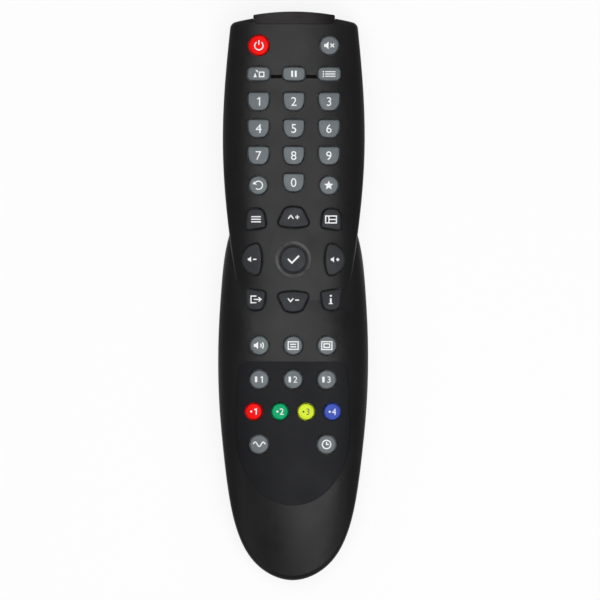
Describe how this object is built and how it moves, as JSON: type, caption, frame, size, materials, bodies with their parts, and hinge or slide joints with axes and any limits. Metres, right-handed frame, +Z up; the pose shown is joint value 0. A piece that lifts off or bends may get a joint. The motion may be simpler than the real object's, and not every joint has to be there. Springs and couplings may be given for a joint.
{
  "type": "satellite receiver remote control",
  "caption": "Handheld remote control with domed rubber keys, colour keys, a central navigation cluster, infrared window and sliding battery door.",
  "frame": {"origin": "middle of the outline, on the flat underside", "axes": "+Y along the remote towards the infrared end, +X to the right seen from the keys, +Z up out of the keys"},
  "size_m": [0.0502, 0.1896, 0.0221],
  "materials": {
    "shell": "satin moulded",
    "inlay": "fine matte",
    "window": "polished infrared-pass plastic",
    "grey_key": "satin, lacquered",
    "dark_key": "satin, lacquered",
    "red_key": "satin, lacquered",
    "green_key": "satin, lacquered",
    "yellow_key": "satin, lacquered",
    "blue_key": "satin, lacquered",
    "silicone": "matte",
    "board": "phenolic laminate",
    "led": "clear epoxy",
    "chip": "moulded epoxy",
    "resonator": "dipped ceramic",
    "capacitor": "sleeved can",
    "pads": "printed carbon",
    "cell": "plain jacket",
    "spring_steel": "nickel plated",
    "screw_steel": "blackened"
  },
  "bodies": {
    "root": {"front_shell": "shell", "rear_shell": "shell", "keypad_inlay": "inlay", "ir_window": "window", "keymat": "silicone", "pcb": "board", "ir_led": "led", "controller_chip": "chip", "resonator": "resonator", "capacitor": "capacitor", "transistor": "chip", "chip_resistors": "chip", "contact_pads": "pads", "battery_left": "cell", "battery_right": "cell", "contact_bridge": "spring_steel", "contact_positive": "spring_steel", "contact_negative": "spring_steel", "housing_screws": "screw_steel"},
    "battery_door": {"battery_door": "shell"},
    "key_power": {"key_power": "red_key"},
    "key_mute": {"key_mute": "grey_key"},
    "key_source": {"key_source": "grey_key"},
    "key_pause": {"key_pause": "grey_key"},
    "key_list": {"key_list": "grey_key"},
    "key_recall": {"key_recall": "grey_key"},
    "key_favourite": {"key_favourite": "grey_key"},
    "key_ok": {"key_ok": "dark_key"},
    "key_output": {"key_output": "grey_key"},
    "key_timer": {"key_timer": "grey_key"},
    "key_1": {"key_1": "grey_key"},
    "key_2": {"key_2": "grey_key"},
    "key_3": {"key_3": "grey_key"},
    "key_4": {"key_4": "grey_key"},
    "key_5": {"key_5": "grey_key"},
    "key_6": {"key_6": "grey_key"},
    "key_7": {"key_7": "grey_key"},
    "key_8": {"key_8": "grey_key"},
    "key_9": {"key_9": "grey_key"},
    "key_0": {"key_0": "grey_key"},
    "key_up": {"key_up": "dark_key"},
    "key_down": {"key_down": "dark_key"},
    "key_left": {"key_left": "dark_key"},
    "key_right": {"key_right": "dark_key"},
    "key_menu": {"key_menu": "dark_key"},
    "key_guide": {"key_guide": "dark_key"},
    "key_exit": {"key_exit": "dark_key"},
    "key_info": {"key_info": "dark_key"},
    "key_sound": {"key_sound": "grey_key"},
    "key_text": {"key_text": "grey_key"},
    "key_page": {"key_page": "grey_key"},
    "key_memory_1": {"key_memory_1": "grey_key"},
    "key_memory_2": {"key_memory_2": "grey_key"},
    "key_memory_3": {"key_memory_3": "grey_key"},
    "key_red": {"key_red": "red_key"},
    "key_green": {"key_green": "green_key"},
    "key_yellow": {"key_yellow": "yellow_key"},
    "key_blue": {"key_blue": "blue_key"}
  },
  "joints": [
    {"name": "door_slide", "type": "slide", "parent": "root", "child": "battery_door", "axis": [0, -1, 0], "range_m": [0, 0.075]},
    {"name": "press_power", "type": "slide", "parent": "root", "child": "key_power", "axis": [0, 0, -1], "range_m": [0, 0.001], "stiffness_N_per_m": 900},
    {"name": "press_mute", "type": "slide", "parent": "root", "child": "key_mute", "axis": [0, 0, -1], "range_m": [0, 0.001], "stiffness_N_per_m": 900},
    {"name": "press_source", "type": "slide", "parent": "root", "child": "key_source", "axis": [0, 0, -1], "range_m": [0, 0.001], "stiffness_N_per_m": 900},
    {"name": "press_pause", "type": "slide", "parent": "root", "child": "key_pause", "axis": [0, 0, -1], "range_m": [0, 0.001], "stiffness_N_per_m": 900},
    {"name": "press_list", "type": "slide", "parent": "root", "child": "key_list", "axis": [0, 0, -1], "range_m": [0, 0.001], "stiffness_N_per_m": 900},
    {"name": "press_recall", "type": "slide", "parent": "root", "child": "key_recall", "axis": [0, 0, -1], "range_m": [0, 0.001], "stiffness_N_per_m": 900},
    {"name": "press_favourite", "type": "slide", "parent": "root", "child": "key_favourite", "axis": [0, 0, -1], "range_m": [0, 0.001], "stiffness_N_per_m": 900},
    {"name": "press_ok", "type": "slide", "parent": "root", "child": "key_ok", "axis": [0, 0, -1], "range_m": [0, 0.001], "stiffness_N_per_m": 900},
    {"name": "press_output", "type": "slide", "parent": "root", "child": "key_output", "axis": [0, 0, -1], "range_m": [0, 0.001], "stiffness_N_per_m": 900},
    {"name": "press_timer", "type": "slide", "parent": "root", "child": "key_timer", "axis": [0, 0, -1], "range_m": [0, 0.001], "stiffness_N_per_m": 900},
    {"name": "press_1", "type": "slide", "parent": "root", "child": "key_1", "axis": [0, 0, -1], "range_m": [0, 0.001], "stiffness_N_per_m": 900},
    {"name": "press_2", "type": "slide", "parent": "root", "child": "key_2", "axis": [0, 0, -1], "range_m": [0, 0.001], "stiffness_N_per_m": 900},
    {"name": "press_3", "type": "slide", "parent": "root", "child": "key_3", "axis": [0, 0, -1], "range_m": [0, 0.001], "stiffness_N_per_m": 900},
    {"name": "press_4", "type": "slide", "parent": "root", "child": "key_4", "axis": [0, 0, -1], "range_m": [0, 0.001], "stiffness_N_per_m": 900},
    {"name": "press_5", "type": "slide", "parent": "root", "child": "key_5", "axis": [0, 0, -1], "range_m": [0, 0.001], "stiffness_N_per_m": 900},
    {"name": "press_6", "type": "slide", "parent": "root", "child": "key_6", "axis": [0, 0, -1], "range_m": [0, 0.001], "stiffness_N_per_m": 900},
    {"name": "press_7", "type": "slide", "parent": "root", "child": "key_7", "axis": [0, 0, -1], "range_m": [0, 0.001], "stiffness_N_per_m": 900},
    {"name": "press_8", "type": "slide", "parent": "root", "child": "key_8", "axis": [0, 0, -1], "range_m": [0, 0.001], "stiffness_N_per_m": 900},
    {"name": "press_9", "type": "slide", "parent": "root", "child": "key_9", "axis": [0, 0, -1], "range_m": [0, 0.001], "stiffness_N_per_m": 900},
    {"name": "press_0", "type": "slide", "parent": "root", "child": "key_0", "axis": [0, 0, -1], "range_m": [0, 0.001], "stiffness_N_per_m": 900},
    {"name": "press_up", "type": "slide", "parent": "root", "child": "key_up", "axis": [0, 0, -1], "range_m": [0, 0.001], "stiffness_N_per_m": 900},
    {"name": "press_down", "type": "slide", "parent": "root", "child": "key_down", "axis": [0, 0, -1], "range_m": [0, 0.001], "stiffness_N_per_m": 900},
    {"name": "press_left", "type": "slide", "parent": "root", "child": "key_left", "axis": [0, 0, -1], "range_m": [0, 0.001], "stiffness_N_per_m": 900},
    {"name": "press_right", "type": "slide", "parent": "root", "child": "key_right", "axis": [0, 0, -1], "range_m": [0, 0.001], "stiffness_N_per_m": 900},
    {"name": "press_menu", "type": "slide", "parent": "root", "child": "key_menu", "axis": [0, 0, -1], "range_m": [0, 0.001], "stiffness_N_per_m": 900},
    {"name": "press_guide", "type": "slide", "parent": "root", "child": "key_guide", "axis": [0, 0, -1], "range_m": [0, 0.001], "stiffness_N_per_m": 900},
    {"name": "press_exit", "type": "slide", "parent": "root", "child": "key_exit", "axis": [0, 0, -1], "range_m": [0, 0.001], "stiffness_N_per_m": 900},
    {"name": "press_info", "type": "slide", "parent": "root", "child": "key_info", "axis": [0, 0, -1], "range_m": [0, 0.001], "stiffness_N_per_m": 900},
    {"name": "press_sound", "type": "slide", "parent": "root", "child": "key_sound", "axis": [0, 0, -1], "range_m": [0, 0.001], "stiffness_N_per_m": 900},
    {"name": "press_text", "type": "slide", "parent": "root", "child": "key_text", "axis": [0, 0, -1], "range_m": [0, 0.001], "stiffness_N_per_m": 900},
    {"name": "press_page", "type": "slide", "parent": "root", "child": "key_page", "axis": [0, 0, -1], "range_m": [0, 0.001], "stiffness_N_per_m": 900},
    {"name": "press_memory_1", "type": "slide", "parent": "root", "child": "key_memory_1", "axis": [0, 0, -1], "range_m": [0, 0.001], "stiffness_N_per_m": 900},
    {"name": "press_memory_2", "type": "slide", "parent": "root", "child": "key_memory_2", "axis": [0, 0, -1], "range_m": [0, 0.001], "stiffness_N_per_m": 900},
    {"name": "press_memory_3", "type": "slide", "parent": "root", "child": "key_memory_3", "axis": [0, 0, -1], "range_m": [0, 0.001], "stiffness_N_per_m": 900},
    {"name": "press_red", "type": "slide", "parent": "root", "child": "key_red", "axis": [0, 0, -1], "range_m": [0, 0.001], "stiffness_N_per_m": 900},
    {"name": "press_green", "type": "slide", "parent": "root", "child": "key_green", "axis": [0, 0, -1], "range_m": [0, 0.001], "stiffness_N_per_m": 900},
    {"name": "press_yellow", "type": "slide", "parent": "root", "child": "key_yellow", "axis": [0, 0, -1], "range_m": [0, 0.001], "stiffness_N_per_m": 900},
    {"name": "press_blue", "type": "slide", "parent": "root", "child": "key_blue", "axis": [0, 0, -1], "range_m": [0, 0.001], "stiffness_N_per_m": 900}
  ]
}
